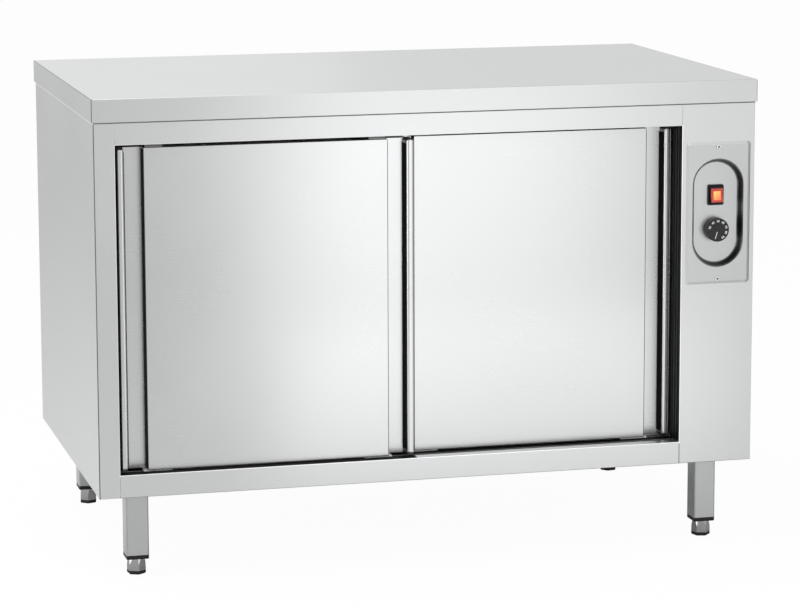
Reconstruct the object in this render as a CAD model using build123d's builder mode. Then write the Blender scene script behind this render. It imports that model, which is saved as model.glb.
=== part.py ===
"""Heated plate cupboard on four legs, with two sliding doors and a control recess.

Millimetres. X runs to the right, Y to the back and Z up. The origin is on the floor, under the
middle of the worktop. Sheet parts are drawn folded and sharp, each as its own solid.
"""

import os
from math import atan, degrees

from build123d import *

# Worktop
worktop_width = 1200
worktop_depth = 700
worktop_edge_height = 40
worktop_sheet = 1.5
worktop_return = 20
worktop_overhang = 3
worktop_bend = 1.4
stiffener_width = 60
stiffener_flange = 20
stiffener_end_gap = 2
stiffener_inset = 120

# Body
ground_clearance = 150
body_height = 655
sheet = 1.2
stile_width = 37
top_rail_height = 40
bottom_rail_height = 40
fascia_width = 137
rail_fold = 21
rail_hem = 10
panel_flange = 15
back_cavity = 37
body_bend = 1.0
corner_bend = 1.8
rail_end_round = 0.5
duct_insulation = 20

# Doors
door_overlap = 41.5
door_thickness = 24
door_recess = 20
door_gap = 4
door_top_gap = 7.5
door_bottom_gap = 2
door_rear_gap = 10
left_door_side_gap = 4.5
right_door_side_gap = 3
door_skin = 1
lip_width = 13
lip_round = 5
door_end_round = 1
channel_width = 35
channel_back_gap = 4
channel_wall_run = 4
panel_wall_run = 1.2
panel_bend = 1

# Hanging and guiding of the doors
hanger_inset = 66
hanger_width = 30
hanger_foot_thickness = 2.5
hanger_foot_inset = 3
hanger_setback = 6
hanger_plate_thickness = 3
hanger_head = 8
pin_diameter = 6
pin_play = 0.05
roller_diameter = 24
roller_width = 7
roller_play = 0.5
roller_lift = 0.1
track_above_opening = 4
track_lip = 3
track_web_gap = 0.8
stop_length = 10
stop_play = 0.5
glide_length = 50
glide_depth = 16
glide_lift = 0.5
tongue_width = 6
groove_play = 0.5
groove_depth = 9
tongue_end_gap = 1.2

# Shelf
shelf_height = 470
shelf_side_gap = 4
shelf_front_gap = 8
shelf_back_gap = 8
shelf_edge = 25
shelf_rail_leg = 25
shelf_rail_sheet = 1.5
shelf_rail_end_gap = 10
shelf_rib_width = 80
shelf_rib_depth = 20

# Control plate and what it carries
plate_side_margin = 8
plate_height = 257
plate_drop = 239
plate_proud = 1.7
plate_bevel = 5
plate_bevel_rise = 1.5
plate_corner = 6
recess_side_margin = 12.25
recess_end_margin = 30.5
recess_depth = 16
recess_floor_inset = 7
recess_rim_round = 1.2
recess_floor_round = 2
cutout_play = 2
plate_screw_margin = 9
plate_screw_head = 9.5
plate_screw_head_height = 1.1
plate_screw_shank = 4
plate_screw_length = 12
switch_rise = 31
switch_frame_width = 30
switch_frame_height = 37.2
switch_frame_proud = 3
switch_frame_corner = 3
switch_wall = 1.6
switch_hole_play = 0.2
switch_cavity = 13
switch_body_depth = 26
switch_blade_width = 6.3
switch_blade_thickness = 0.8
switch_blade_length = 9
switch_blade_pitch = 10
rocker_width = 24
rocker_height = 32
rocker_play = 0.3
rocker_proud = 4.5
rocker_end_cut = 1.2
rocker_pivot_depth = 2
rocker_depth = 6
rocker_swing = 16
knob_diameter = 42.6
knob_height = 16
knob_drop = 31
knob_base_gap = 0.8
knob_round = 1.5
spindle_diameter = 6
spindle_play = 0.05
spindle_reach = 15
bush_diameter = 10
bush_play = 0.3
thermostat_size = 40
thermostat_depth = 22

# Heater behind the right inner wall
duct_front = 0
duct_length = 260
duct_bottom = 215
duct_height = 240
motor_side_gap = 10.6
duct_sheet = 1
impeller_diameter = 140
impeller_width = 32
impeller_gap = 14
impeller_disc = 2
blade_count = 12
blade_length = 30
blade_thickness = 1.5
shaft_diameter = 8
shaft_play = 0.05
shaft_length = 30
motor_diameter = 82
motor_length = 44
motor_round = 4
element_diameter = 8
element_ring = 200
element_leg_spacing = 40
element_tail = 20
intake_hole = 9
intake_ring_count = 3
intake_ring_pitch = 20
intake_first_ring = 18
intake_holes_per_ring = 6
outlet_slot = 70
outlet_slot_height = 6
outlet_pitch = 12
outlet_count = 4
sensor_diameter = 8
sensor_length = 80
sensor_off_wall = 10
sensor_drop = 65
sensor_clip = 5
capillary_diameter = 2
capillary_bend = 14
capillary_y = -60
capillary_lead = 45
grommet_hole = 8
terminal_length = 60
terminal_depth = 26
terminal_height = 22
terminal_ways = 5

# Openings of the body for cable and cooling air
gland_x_from_right = 67
gland_y = 120
gland_bore = 10
gland_thread = 20
gland_hole_play = 0.25
gland_collar = 28
gland_drop = 12
gland_rise = 14
gland_nut_height = 5
vent_slot = 80
vent_slot_height = 5
vent_pitch = 12
vent_count = 8
vent_bottom = 240

# Legs and feet
leg_size = 40
leg_wall = 1.5
leg_corner = 3
leg_inset_side = 75
leg_inset_front = 63
leg_inset_back = 94
leg_bottom = 36
plug_thickness = 7.5
plug_neck = 25
plug_play = 0.2
plug_round = 1.5
plug_groove = 0.6
plug_groove_width = 1
stem_diameter = 10
stem_play = 0.1
stem_above_plug = 36
foot_flats = 29.5
foot_draft = 0.5
foot_gap = 0.3
sole_thickness = 6.5
foot_turns = (37, 46, 20, 10)

os.makedirs("parts", exist_ok=True)


def keep(piece, name):
    """Label one finished piece and write it as its own file."""
    piece.label = name
    export_step(piece, f"parts/{name}.step")


def block(x_from, x_to, y_from, y_to, z_from, z_to, mode=Mode.ADD):
    """A box between its limits, in the part that is being built."""
    middle = ((x_from + x_to) / 2, (y_from + y_to) / 2, (z_from + z_to) / 2)
    with Locations(middle):
        Box(x_to - x_from, y_to - y_from, z_to - z_from, mode=mode)


# Planes of the body, each on the outer face of its sheet
body_bottom = ground_clearance
body_top = body_bottom + body_height
body_middle = (body_bottom + body_top) / 2
worktop_top = body_top + worktop_edge_height
body_right = worktop_width / 2 - worktop_overhang
body_left = -body_right
body_back = worktop_depth / 2 - worktop_overhang
body_front = -body_back
opening_left = body_left + stile_width
opening_right = body_right - fascia_width
opening_bottom = body_bottom + bottom_rail_height
opening_top = body_top - top_rail_height

# Planes of the doors and of the heated chamber behind them
door_pitch = door_thickness + door_gap
front_door_face = body_front + door_recess
rear_door_face = front_door_face + door_pitch
door_zone_back = rear_door_face + door_thickness + door_rear_gap
door_bottom = opening_bottom + door_bottom_gap
door_top = opening_top - door_top_gap
left_door_left = opening_left + left_door_side_gap
right_door_right = opening_right - right_door_side_gap
door_width = (right_door_right - left_door_left + door_overlap) / 2
right_door_left = right_door_right - door_width
door_travel = opening_right - left_door_side_gap - (left_door_left + door_width)
channel_depth = door_thickness - channel_back_gap
chamber_back = body_back - back_cavity
floor_underside = opening_bottom - sheet

# ---- Worktop: a folded tray, and the three channels glued under it ----

half_width = worktop_width / 2
half_depth = worktop_depth / 2
return_top = body_top + worktop_sheet
top_underside = worktop_top - worktop_sheet

with BuildPart() as worktop:
    block(-half_width, half_width, -half_depth, half_depth, body_top, worktop_top)
    upright = worktop.edges().filter_by(Axis.Z)
    fillet(upright + worktop.faces().sort_by(Axis.Z)[-1].edges(), worktop_bend)
    block(
        -half_width + worktop_sheet, half_width - worktop_sheet,
        -half_depth + worktop_sheet, half_depth - worktop_sheet,
        return_top, top_underside, mode=Mode.SUBTRACT,
    )
    block(
        -half_width + worktop_return, half_width - worktop_return,
        -half_depth + worktop_return, half_depth - worktop_return,
        body_top, return_top, mode=Mode.SUBTRACT,
    )
keep(worktop.part, "worktop")

stiffener_end = half_width - worktop_sheet - stiffener_end_gap
with BuildPart() as worktop_stiffeners:
    for place in (stiffener_inset - half_depth, 0, half_depth - stiffener_inset):
        near = place - stiffener_width / 2
        far = place + stiffener_width / 2
        block(-stiffener_end, stiffener_end, near, far, return_top, top_underside)
        block(
            -stiffener_end, stiffener_end, near - stiffener_flange, far + stiffener_flange,
            top_underside - worktop_sheet, top_underside,
        )
        block(
            -stiffener_end, stiffener_end, near + worktop_sheet, far - worktop_sheet,
            return_top + worktop_sheet, top_underside, mode=Mode.SUBTRACT,
        )
keep(worktop_stiffeners.part, "worktop_stiffeners")

# ---- Outer panels ----


def soften(built, axis, point, bend=body_bend):
    """Round the bend of a folded panel that runs along an axis through a point."""
    fillet(built.edges().filter_by(axis).sort_by_distance(point)[0], bend)


def ease_ends(rail, height):
    """Round the two ends of a rail's front face, which meet the stile and the fascia."""
    for x in (opening_left, opening_right):
        ends = rail.edges().filter_by(Axis.Z)
        fillet(ends.sort_by_distance((x, body_front, height))[0], rail_end_round)


with BuildPart() as left_side_panel:
    block(body_left, body_left + sheet, body_front, body_back, body_bottom, body_top)
    block(body_left, opening_left, body_front, body_front + sheet, body_bottom, body_top)
    block(
        opening_left - sheet, opening_left, body_front, door_zone_back,
        body_bottom + sheet, body_top,
    )
    block(
        body_left, body_left + panel_flange, body_back - 2 * sheet, body_back - sheet,
        body_bottom + sheet, body_top,
    )
    soften(left_side_panel, Axis.Z, (body_left, body_front, body_middle), corner_bend)
    soften(left_side_panel, Axis.Z, (opening_left, body_front, body_middle))
    soften(left_side_panel, Axis.X, (body_left, body_front, body_bottom))
keep(left_side_panel.part, "left_side_panel")

with BuildPart() as right_side_panel:
    block(
        body_right - sheet, body_right, body_front + sheet, body_back, body_bottom, body_top
    )
    block(
        body_right - panel_flange, body_right, body_front + sheet, body_front + 2 * sheet,
        body_bottom + sheet, body_top,
    )
    block(
        body_right - panel_flange, body_right, body_back - 2 * sheet, body_back - sheet,
        body_bottom + sheet, body_top,
    )
keep(right_side_panel.part, "right_side_panel")

service_middle = (opening_right + body_right) / 2
vent_middle = vent_bottom + (vent_count - 1) * vent_pitch / 2
with BuildPart() as back_panel:
    block(
        body_left + sheet, body_right - sheet, body_back - sheet, body_back,
        body_bottom, body_top,
    )
    with BuildSketch(Plane.XZ.offset(-body_back)):
        with Locations((service_middle, vent_middle)):
            with GridLocations(1, vent_pitch, 1, vent_count):
                SlotOverall(vent_slot, vent_slot_height)
    extrude(amount=sheet, mode=Mode.SUBTRACT)
keep(back_panel.part, "back_panel")

gland_x = body_right - gland_x_from_right
with BuildPart() as base_panel:
    block(
        body_left + sheet, body_right - sheet, body_front + sheet, body_back - sheet,
        body_bottom, body_bottom + sheet,
    )
    with BuildSketch(Plane.XY.offset(body_bottom)):
        with Locations((gland_x, gland_y)):
            Circle(gland_thread / 2 + gland_hole_play)
    extrude(amount=sheet, mode=Mode.SUBTRACT)
keep(base_panel.part, "base_panel")

with BuildPart() as top_rail:
    block(opening_left, opening_right, body_front, body_front + sheet, opening_top, body_top)
    block(
        opening_left, opening_right, body_front, body_front + rail_fold,
        body_top - sheet, body_top,
    )
    block(
        opening_left, opening_right, body_front, body_front + rail_hem,
        opening_top, opening_top + sheet,
    )
    soften(top_rail, Axis.X, (0, body_front, opening_top))
    ease_ends(top_rail, (opening_top + body_top) / 2)
keep(top_rail.part, "top_rail")

with BuildPart() as bottom_rail:
    block(
        opening_left, opening_right, body_front, body_front + sheet,
        body_bottom, opening_bottom,
    )
    block(
        opening_left, opening_right, body_front, body_front + rail_fold,
        floor_underside, opening_bottom,
    )
    block(
        opening_left, opening_right, body_front, body_front + rail_hem,
        body_bottom + sheet, body_bottom + 2 * sheet,
    )
    soften(bottom_rail, Axis.X, (0, body_front, opening_bottom))
    soften(bottom_rail, Axis.X, (0, body_front, body_bottom))
    ease_ends(bottom_rail, (body_bottom + opening_bottom) / 2)
keep(bottom_rail.part, "bottom_rail")

# ---- Control fascia, with the cut-out that the recess passes through ----

plate_x = service_middle
plate_width = fascia_width - 2 * plate_side_margin
recess_width = plate_width - 2 * recess_side_margin
recess_height = plate_height - 2 * recess_end_margin
plate_screw_spacing = plate_height - 2 * plate_screw_margin
plate_z = worktop_top - plate_drop
plate_face = body_front - plate_proud
recess_floor = plate_face + recess_depth
recess_floor_back = recess_floor + sheet
recess_taper = degrees(atan(recess_floor_inset / recess_depth))
cutout_width = recess_width + 2 * cutout_play
cutout_height = recess_height + 2 * cutout_play
shank_hole = plate_screw_shank / 2

with BuildPart() as control_fascia:
    block(opening_right, body_right, body_front, body_front + sheet, body_bottom, body_top)
    block(
        opening_right, opening_right + sheet, body_front, door_zone_back,
        body_bottom + sheet, body_top,
    )
    soften(control_fascia, Axis.Z, (body_right, body_front, body_middle))
    soften(control_fascia, Axis.Z, (opening_right, body_front, body_middle))
    soften(control_fascia, Axis.X, (service_middle, body_front, body_bottom))
    with BuildSketch(Plane.XZ.offset(-body_front)):
        with Locations((plate_x, plate_z)):
            SlotOverall(cutout_height, cutout_width, rotation=90)
            with GridLocations(1, plate_screw_spacing, 1, 2):
                Circle(shank_hole)
    extrude(amount=-sheet, mode=Mode.SUBTRACT)
keep(control_fascia.part, "control_fascia")

# ---- Inner lining of the heated chamber ----

with BuildPart() as inner_left_wall:
    block(
        opening_left - sheet, opening_left, door_zone_back, chamber_back + sheet,
        body_bottom + sheet, body_top,
    )
keep(inner_left_wall.part, "inner_left_wall")

duct_back = duct_front + duct_length
duct_top = duct_bottom + duct_height
sensor_z = opening_top - sensor_drop
fan_y = (duct_front + duct_back) / 2
fan_z = (duct_bottom + duct_top) / 2
outlet_z = duct_top - outlet_pitch
outlet_middle = outlet_z - (outlet_count - 1) * outlet_pitch / 2

with BuildPart() as inner_right_wall:
    block(
        opening_right, opening_right + sheet, door_zone_back, chamber_back + sheet,
        body_bottom + sheet, body_top,
    )
    with BuildSketch(Plane.YZ.offset(opening_right)):
        with Locations((fan_y, fan_z)):
            for ring in range(intake_ring_count):
                radius = intake_first_ring + ring * intake_ring_pitch
                with PolarLocations(radius, (ring + 1) * intake_holes_per_ring):
                    Circle(intake_hole / 2)
        with Locations((duct_front + duct_length / 4, outlet_middle),
                       (duct_front + duct_length * 3 / 4, outlet_middle)):
            with GridLocations(1, outlet_pitch, 1, outlet_count):
                SlotOverall(outlet_slot, outlet_slot_height)
        with Locations((capillary_y, sensor_z)):
            Circle(grommet_hole / 2)
    extrude(amount=sheet, mode=Mode.SUBTRACT)
keep(inner_right_wall.part, "inner_right_wall")

with BuildPart() as inner_back_wall:
    block(
        opening_left, opening_right, chamber_back, chamber_back + sheet,
        body_bottom + sheet, body_top,
    )
keep(inner_back_wall.part, "inner_back_wall")

with BuildPart() as inner_ceiling:
    block(
        opening_left, opening_right, door_zone_back - sheet, chamber_back,
        opening_top, opening_top + sheet,
    )
keep(inner_ceiling.part, "inner_ceiling")

with BuildPart() as inner_floor:
    block(
        opening_left, opening_right, door_zone_back - door_rear_gap / 2, chamber_back,
        floor_underside, opening_bottom,
    )
keep(inner_floor.part, "inner_floor")

with BuildPart() as insulation_slabs:
    block(
        body_left + sheet, opening_left - sheet, door_zone_back, chamber_back + sheet,
        body_bottom + sheet, body_top,
    )
    block(
        opening_left, opening_right, chamber_back + sheet, body_back - sheet,
        body_bottom + sheet, body_top,
    )
    block(
        opening_left, opening_right, door_zone_back, chamber_back,
        body_bottom + sheet, floor_underside,
    )
    block(
        opening_left, opening_right, door_zone_back, chamber_back,
        opening_top + sheet, body_top,
    )
    block(
        opening_right + sheet, opening_right + sheet + duct_insulation,
        door_zone_back, chamber_back + sheet, body_bottom + sheet, body_top,
    )
    block(
        opening_right + sheet, opening_right + sheet + duct_insulation,
        duct_front, duct_back, duct_bottom, duct_top, mode=Mode.SUBTRACT,
    )
    with BuildSketch(Plane.YZ.offset(opening_right + sheet)):
        with Locations((capillary_y, sensor_z)):
            Circle(grommet_hole / 2)
    extrude(amount=duct_insulation, mode=Mode.SUBTRACT)
keep(insulation_slabs.part, "insulation_slabs")

# ---- Tracks: the hanging track over the doors and the grooved one under them ----


def hanging_planes(face):
    """The Y planes of plate, lip, roller and web behind one door's front face."""
    plate_front = face + hanger_setback
    plate_back = plate_front + hanger_plate_thickness
    lip_front = plate_back + roller_play
    roller_front = lip_front + sheet + roller_play
    web_front = roller_front + roller_width + track_web_gap
    return plate_front, plate_back, lip_front, roller_front, web_front


ledge_bottom = opening_top + track_above_opening
ledge_top = ledge_bottom + sheet
track_plate_top = body_top - sheet
track_plate_bottom = track_plate_top - sheet
roller_z = ledge_top + roller_diameter / 2 + roller_lift

with BuildPart() as top_track:
    block(
        opening_left, opening_right, body_front + sheet, door_zone_back,
        track_plate_bottom, track_plate_top,
    )
    block(
        opening_left, opening_right, door_zone_back - sheet, door_zone_back,
        opening_top + sheet, track_plate_top,
    )
    for face in (front_door_face, rear_door_face):
        plate_front, plate_back, lip_front, roller_front, web_front = hanging_planes(face)
        web_back = web_front + sheet
        block(opening_left, opening_right, lip_front, web_back, ledge_bottom, ledge_top)
        block(
            opening_left, opening_right, lip_front, lip_front + sheet,
            ledge_bottom, ledge_top + track_lip,
        )
        block(
            opening_left, opening_right, web_front, web_back,
            ledge_bottom, track_plate_bottom,
        )
keep(top_track.part, "top_track")

left_door_stops = (left_door_left, left_door_left + door_width + door_travel)
right_door_stops = (right_door_left - door_travel, right_door_left + door_width)
stop_reach = hanger_inset - hanger_width / 2 - stop_play

with BuildPart() as track_end_stops:
    for face, limits in (
        (front_door_face, left_door_stops),
        (rear_door_face, right_door_stops),
    ):
        plate_front, plate_back, lip_front, roller_front, web_front = hanging_planes(face)
        low_end = limits[0] + stop_reach
        high_end = limits[1] - stop_reach
        block(
            low_end - stop_length, low_end, plate_front - hanger_plate_thickness, plate_back,
            roller_z - hanger_head, track_plate_bottom,
        )
        block(
            high_end, high_end + stop_length, plate_front - hanger_plate_thickness, plate_back,
            roller_z - hanger_head, track_plate_bottom,
        )
keep(track_end_stops.part, "track_end_stops")

guide_top = floor_underside
guide_underside = guide_top - sheet
groove_floor = guide_top - groove_depth
groove_half = tongue_width / 2 + groove_play

with BuildPart() as bottom_track:
    block(
        opening_left, opening_right, body_front + sheet, door_zone_back,
        guide_underside, guide_top,
    )
    block(
        opening_left, opening_right, door_zone_back - sheet, door_zone_back,
        body_bottom + sheet, guide_underside,
    )
    for face in (front_door_face, rear_door_face):
        groove_y = face + door_thickness / 2
        block(
            opening_left, opening_right, groove_y - groove_half - sheet,
            groove_y + groove_half + sheet, groove_floor - sheet, guide_underside,
        )
        block(
            opening_left, opening_right, groove_y - groove_half,
            groove_y + groove_half, groove_floor, guide_top, mode=Mode.SUBTRACT,
        )
keep(bottom_track.part, "bottom_track")

# ---- Shelf and the two rails that carry it ----

shelf_left = opening_left + shelf_side_gap
shelf_right = opening_right - shelf_side_gap
shelf_front = door_zone_back + shelf_front_gap
shelf_back = chamber_back - shelf_back_gap
rail_front = shelf_front + sheet + shelf_rail_end_gap
rail_back = shelf_back - sheet - shelf_rail_end_gap
rib_middle = (shelf_front + shelf_back) / 2

with BuildPart() as shelf:
    block(shelf_left, shelf_right, shelf_front, shelf_back, shelf_height, shelf_height + sheet)
    for near in (shelf_front, shelf_back - sheet):
        block(
            shelf_left, shelf_right, near, near + sheet,
            shelf_height - shelf_edge + sheet, shelf_height,
        )
    rib_left = opening_left + shelf_rail_leg + shelf_rail_end_gap
    rib_right = opening_right - shelf_rail_leg - shelf_rail_end_gap
    block(
        rib_left, rib_right, rib_middle - shelf_rib_width / 2,
        rib_middle + shelf_rib_width / 2, shelf_height - shelf_rib_depth, shelf_height,
    )
    block(
        rib_left, rib_right, rib_middle - shelf_rib_width / 2 + sheet,
        rib_middle + shelf_rib_width / 2 - sheet,
        shelf_height - shelf_rib_depth + sheet, shelf_height, mode=Mode.SUBTRACT,
    )
keep(shelf.part, "shelf")

with BuildPart() as shelf_rails:
    for wall, side in ((opening_left, 1), (opening_right, -1)):
        upright = sorted((wall, wall + side * shelf_rail_sheet))
        ledge = sorted((wall, wall + side * shelf_rail_leg))
        block(*upright, rail_front, rail_back, shelf_height - shelf_rail_leg, shelf_height)
        block(*ledge, rail_front, rail_back, shelf_height - shelf_rail_sheet, shelf_height)
keep(shelf_rails.part, "shelf_rails")

# ---- Doors: folded front tray with two pull channels, back skin and core ----


def door_outline(left, face, wall):
    """Plan section of a door's front tray, drawn a wall's thickness inside its outer face."""
    front = face + wall
    back = face + door_thickness - door_skin
    floor = face + channel_depth + wall
    lip = lip_width - wall
    foot = lip_width + channel_wall_run - wall
    panel = lip_width + channel_width + wall
    panel_foot = panel - panel_wall_run
    right = left + door_width
    return (
        (left + wall, back),
        (left + wall, front),
        (left + lip, front),
        (left + foot, floor),
        (left + panel_foot, floor),
        (left + panel, front),
        (right - panel, front),
        (right - panel_foot, floor),
        (right - foot, floor),
        (right - lip, front),
        (right - wall, front),
        (right - wall, back),
    )


def of_lips(left, face):
    """A test for the bends of a tray's two lips: their front corners and their ends."""
    def chosen(edge):
        place = edge.center()
        inset = min(place.X - left, left + door_width - place.X)
        before_floor = place.Y < face + channel_depth - door_skin
        return inset < lip_width + channel_wall_run and before_floor
    return chosen


def of_panel_bends(left, face):
    """A test for the two upright edges at the front of a tray's flat panel."""
    def chosen(edge):
        place = edge.center()
        inset = min(place.X - left, left + door_width - place.X)
        at_bend = abs(inset - lip_width - channel_width) < door_skin / 2
        return at_bend and place.Y < face + door_skin and edge.length > door_top - door_bottom - 1
    return chosen


def of_lip_corners(left, face):
    """A test for the corners at the front of the two lips in a tray's plan section."""
    def chosen(corner):
        inset = min(corner.X - left, left + door_width - corner.X)
        return inset < lip_width and corner.Y < face + channel_depth / 2
    return chosen


def of_ends(left, face):
    """A test for the long edges at a tray's top and bottom: its panel's and its channels'."""
    def chosen(edge):
        place = edge.center()
        at_end = min(place.Z - door_bottom, door_top - place.Z) < door_skin / 2
        inset = min(place.X - left, left + door_width - place.X)
        before_back = place.Y < face + channel_depth + door_skin
        return at_end and before_back and edge.length > channel_width / 2 and inset > lip_width
    return chosen


def build_door(side, left, face):
    """The skins, core, hangers and glides of one door, written under its side's name."""
    right = left + door_width
    back_skin_front = face + door_thickness - door_skin
    hanger_places = (left + hanger_inset, right - hanger_inset)
    plate_front, plate_back, lip_front, roller_front, web_front = hanging_planes(face)
    core_inset = lip_width + channel_width + 2 * door_skin

    with BuildPart() as front_skin:
        with BuildSketch(Plane.XY.offset(door_bottom)):
            with BuildLine():
                Polyline(*door_outline(left, face, 0), close=True)
            make_face()
        extrude(amount=door_top - door_bottom)
        fillet(front_skin.edges().filter_by(of_lips(left, face)), lip_round)
        fillet(front_skin.edges().filter_by(of_panel_bends(left, face)), panel_bend)
        fillet(front_skin.edges().filter_by(of_ends(left, face)), door_end_round)
        with BuildSketch(Plane.XY.offset(door_bottom + lip_round)) as cavity:
            with BuildLine():
                Polyline(*door_outline(left, face, door_skin), close=True)
            make_face()
            fillet(cavity.vertices().filter_by(of_lip_corners(left, face)), lip_round - door_skin)
        extrude(amount=door_top - door_bottom - 2 * lip_round, mode=Mode.SUBTRACT)
        block(
            left + core_inset, right - core_inset, face + door_skin, back_skin_front,
            door_bottom + door_skin, door_top - door_skin, mode=Mode.SUBTRACT,
        )
    keep(front_skin.part, f"{side}_door_front_skin")

    with BuildPart() as back_skin:
        block(left, right, back_skin_front, back_skin_front + door_skin, door_bottom, door_top)
    keep(back_skin.part, f"{side}_door_back_skin")

    with BuildPart() as core:
        block(
            left + core_inset, right - core_inset, face + door_skin, back_skin_front,
            door_bottom + door_skin, door_top - door_skin,
        )
    keep(core.part, f"{side}_door_core")

    with BuildPart() as hangers:
        for x in hanger_places:
            x_from = x - hanger_width / 2
            x_to = x + hanger_width / 2
            block(
                x_from, x_to, face + hanger_foot_inset,
                face + door_thickness - hanger_foot_inset,
                door_top, door_top + hanger_foot_thickness,
            )
            block(x_from, x_to, plate_front, plate_back, door_top, roller_z + hanger_head)
            pin_end = roller_front + roller_width + track_web_gap / 2
            with BuildSketch(Plane.XZ.offset(-plate_back)):
                with Locations((x, roller_z)):
                    Circle(pin_diameter / 2)
            extrude(amount=plate_back - pin_end)
    keep(hangers.part, f"{side}_door_hangers")

    glide_y = face + door_thickness / 2
    with BuildPart() as glides:
        for x in hanger_places:
            x_from = x - glide_length / 2
            x_to = x + glide_length / 2
            block(
                x_from, x_to, glide_y - glide_depth / 2, glide_y + glide_depth / 2,
                guide_top + glide_lift, door_bottom,
            )
            block(
                x_from, x_to, glide_y - tongue_width / 2, glide_y + tongue_width / 2,
                groove_floor + tongue_end_gap, door_bottom,
            )
    keep(glides.part, f"{side}_door_glides")

    for end, x in zip(("left", "right"), hanger_places):
        with BuildPart() as roller:
            with BuildSketch(Plane.XZ.offset(-roller_front)):
                with Locations((x, roller_z)):
                    Circle(roller_diameter / 2)
                    Circle(pin_diameter / 2 + pin_play, mode=Mode.SUBTRACT)
            extrude(amount=-roller_width)
        keep(roller.part, f"{side}_door_{end}_roller")


build_door("left", left_door_left, front_door_face)
build_door("right", right_door_left, rear_door_face)

# ---- Control plate: a bevelled plate with a drawn stadium recess ----

switch_z = plate_z + switch_rise
knob_z = plate_z - knob_drop
rocker_hole_width = rocker_width + 2 * rocker_play
rocker_hole_height = rocker_height + 2 * rocker_play
switch_body_width = rocker_hole_width + 2 * switch_wall
switch_body_height = rocker_hole_height + 2 * switch_wall

with BuildPart() as control_plate:
    with BuildSketch(Plane.XZ.offset(-body_front)):
        with Locations((plate_x, plate_z)):
            RectangleRounded(plate_width, plate_height, plate_corner)
    extrude(amount=plate_proud)
    chamfer(
        control_plate.faces().sort_by(Axis.Y)[0].edges(), plate_bevel_rise, plate_bevel
    )
    with BuildSketch(Plane.XZ.offset(-body_front)):
        with Locations((plate_x, plate_z)):
            SlotOverall(recess_height + 2 * sheet, recess_width + 2 * sheet, rotation=90)
    extrude(amount=body_front - recess_floor_back, taper=recess_taper)
    with BuildSketch(Plane.XZ.offset(-plate_face)):
        with Locations((plate_x, plate_z)):
            SlotOverall(recess_height, recess_width, rotation=90)
    extrude(amount=-recess_depth, taper=recess_taper, mode=Mode.SUBTRACT)
    front = control_plate.faces().sort_by(Axis.Y)[0]
    fillet(front.inner_wires()[0].edges(), recess_rim_round)
    floor = control_plate.faces().sort_by_distance((plate_x, recess_floor, plate_z))[0]
    fillet(floor.outer_wire().edges(), recess_floor_round)
    with BuildSketch(Plane.XZ.offset(-recess_floor)):
        with Locations((plate_x, switch_z)):
            Rectangle(
                switch_body_width + 2 * switch_hole_play,
                switch_body_height + 2 * switch_hole_play,
            )
        with Locations((plate_x, knob_z)):
            Circle(bush_diameter / 2 + bush_play)
    extrude(amount=-sheet, mode=Mode.SUBTRACT)
    with BuildSketch(Plane.XZ.offset(-plate_face)):
        with Locations((plate_x, plate_z)):
            with GridLocations(1, plate_screw_spacing, 1, 2):
                Circle(shank_hole)
    extrude(amount=-plate_proud, mode=Mode.SUBTRACT)
keep(control_plate.part, "control_plate")

with BuildPart() as control_plate_screws:
    with BuildSketch(Plane.XZ.offset(-plate_face)):
        with Locations((plate_x, plate_z)):
            with GridLocations(1, plate_screw_spacing, 1, 2):
                Circle(plate_screw_head / 2)
    extrude(amount=plate_screw_head_height)
    with BuildSketch(Plane.XZ.offset(-plate_face)):
        with Locations((plate_x, plate_z)):
            with GridLocations(1, plate_screw_spacing, 1, 2):
                Circle(plate_screw_shank / 2)
    extrude(amount=-plate_screw_length)
keep(control_plate_screws.part, "control_plate_screws")

# ---- Lighted rocker switch ----

frame_face = recess_floor - switch_frame_proud
blade_start = recess_floor + switch_body_depth

with BuildPart() as switch_housing:
    with BuildSketch(Plane.XZ.offset(-frame_face)):
        with Locations((plate_x, switch_z)):
            RectangleRounded(switch_frame_width, switch_frame_height, switch_frame_corner)
    extrude(amount=-switch_frame_proud)
    with BuildSketch(Plane.XZ.offset(-recess_floor)):
        with Locations((plate_x, switch_z)):
            Rectangle(switch_body_width, switch_body_height)
    extrude(amount=-switch_body_depth)
    with BuildSketch(Plane.XZ.offset(-frame_face)):
        with Locations((plate_x, switch_z)):
            Rectangle(rocker_hole_width, rocker_hole_height)
    extrude(amount=-switch_cavity, mode=Mode.SUBTRACT)
    with BuildSketch(Plane.XZ.offset(-blade_start)):
        with Locations((plate_x, switch_z)):
            with GridLocations(1, switch_blade_pitch, 1, 3):
                Rectangle(switch_blade_width, switch_blade_thickness)
    extrude(amount=-switch_blade_length)
keep(switch_housing.part, "switch_housing")

# Inside its frame the rocker's ends follow a circle round its pivot, so it clears the frame at
# every angle. In front of the frame the two halves of its face stand proud at an angle.
rocker_radius = rocker_height / 2
rocker_reach = rocker_radius - rocker_end_cut
pivot_y = frame_face + rocker_pivot_depth
with BuildPart() as switch_rocker:
    with BuildSketch(Plane.YZ.offset(plate_x - rocker_width / 2)):
        with Locations((pivot_y, switch_z)):
            Circle(rocker_radius)
        with Locations((frame_face, switch_z)):
            Rectangle(2 * rocker_reach, 2 * rocker_reach, align=(Align.MAX, Align.CENTER))
        lean = Vector(0, -rocker_reach).rotate(Axis.Z, -rocker_swing)
        middle = (frame_face - rocker_proud, switch_z)
        with BuildLine():
            Polyline(
                (middle[0] + lean.X, middle[1] + lean.Y),
                middle,
                (middle[0], switch_z + rocker_radius),
                (pivot_y + rocker_depth, switch_z + rocker_radius),
                (pivot_y + rocker_depth, middle[1] + lean.Y),
                close=True,
            )
        make_face(mode=Mode.INTERSECT)
    extrude(amount=rocker_width)
keep(switch_rocker.part, "switch_rocker")

# ---- Thermostat with its knob, capillary and sensor bulb ----

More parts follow.
